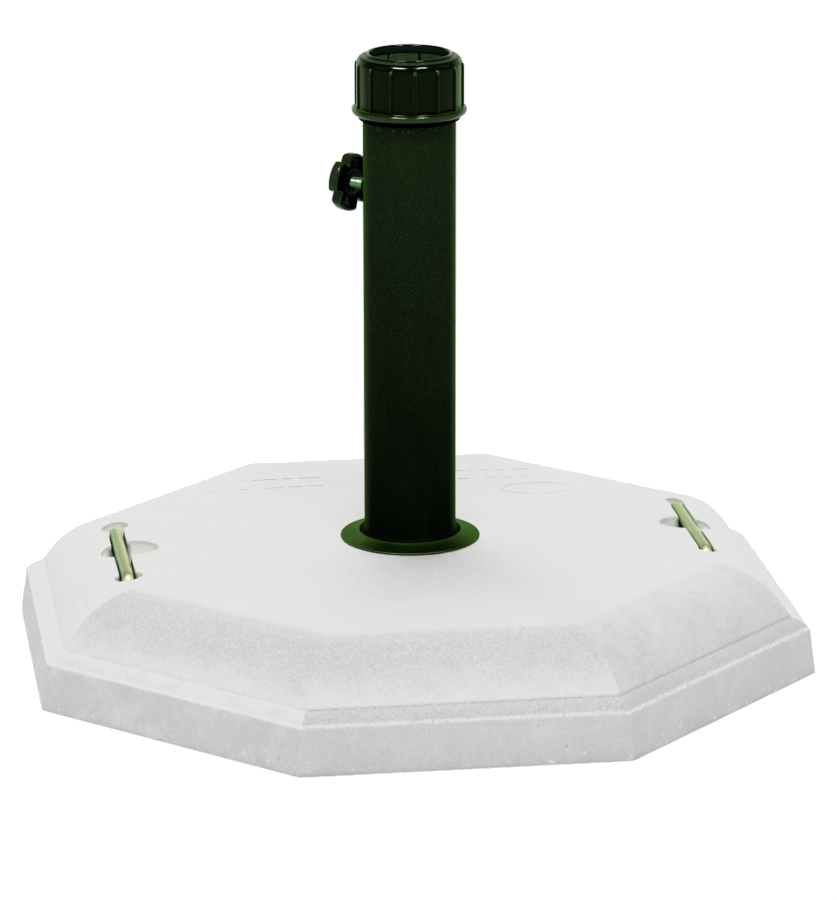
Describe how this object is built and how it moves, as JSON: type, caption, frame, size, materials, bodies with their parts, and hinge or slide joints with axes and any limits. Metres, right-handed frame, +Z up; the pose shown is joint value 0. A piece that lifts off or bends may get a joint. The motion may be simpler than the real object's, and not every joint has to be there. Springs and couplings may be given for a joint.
{
  "type": "parasol base",
  "caption": "Octagonal cast-concrete parasol base with a steel post, ribbed screw collar, side clamp knob and recessed rod carrying handles.",
  "frame": {"origin": "centre of the plinth's underside, on the ground and on the post's axis", "axes": "+Z up along the post, -Y out through the middle of the front side, +X towards the right-hand handle"},
  "size_m": [0.502, 0.502, 0.397],
  "materials": {
    "concrete": "cast, fine sandy grain",
    "post_paint": "satin powder coat, very dark green",
    "ring_paint": "satin, dark green",
    "green_plastic": "glossy, very dark green",
    "sleeve_plastic": "semi-matt, grey-green",
    "seal_rubber": "matt black",
    "zinc_steel": "zinc plated, yellow-green passivated",
    "bare_steel": "plain, cast in"
  },
  "bodies": {
    "base": {"plinth": "concrete", "post_tube": "post_paint", "foot_disc": "bare_steel", "anchor_rod_lower": "bare_steel", "anchor_rod_upper": "bare_steel", "base_rosette": "ring_paint", "foot_collar": "post_paint", "handle_left": "zinc_steel", "handle_right": "zinc_steel", "weld_nut": "post_paint", "collet_sleeve": "sleeve_plastic"},
    "wedge": {"wedge_ring": "sleeve_plastic"},
    "cap": {"lock_cap": "green_plastic"},
    "pad": {"clamp_pad": "seal_rubber"},
    "knob": {"clamp_knob": "green_plastic", "clamp_screw": "zinc_steel"}
  },
  "joints": [
    {"name": "cap_lift", "type": "slide", "parent": "base", "child": "wedge", "axis": [0, 0, 1], "range_m": [0, 0.0081]},
    {"name": "cap_turn", "type": "hinge", "parent": "wedge", "child": "cap", "pos_m": [0, 0, 0.375], "axis": [0, 0, 1], "range_deg": [0, 720]},
    {"name": "clamp_travel", "type": "slide", "parent": "base", "child": "pad", "axis": [-0.7071, 0.7071, 0], "range_m": [-0.0076, 0.0005]},
    {"name": "knob_turn", "type": "hinge", "parent": "pad", "child": "knob", "pos_m": [0, 0, 0.3055], "axis": [-0.7071, 0.7071, 0], "range_deg": [-2160, 120]}
  ],
  "couplings": [
    {"joint": "cap_lift", "follows": "cap_turn", "m_per_rad": 0.00063662},
    {"joint": "clamp_travel", "follows": "knob_turn", "m_per_rad": 0.00019894}
  ]
}
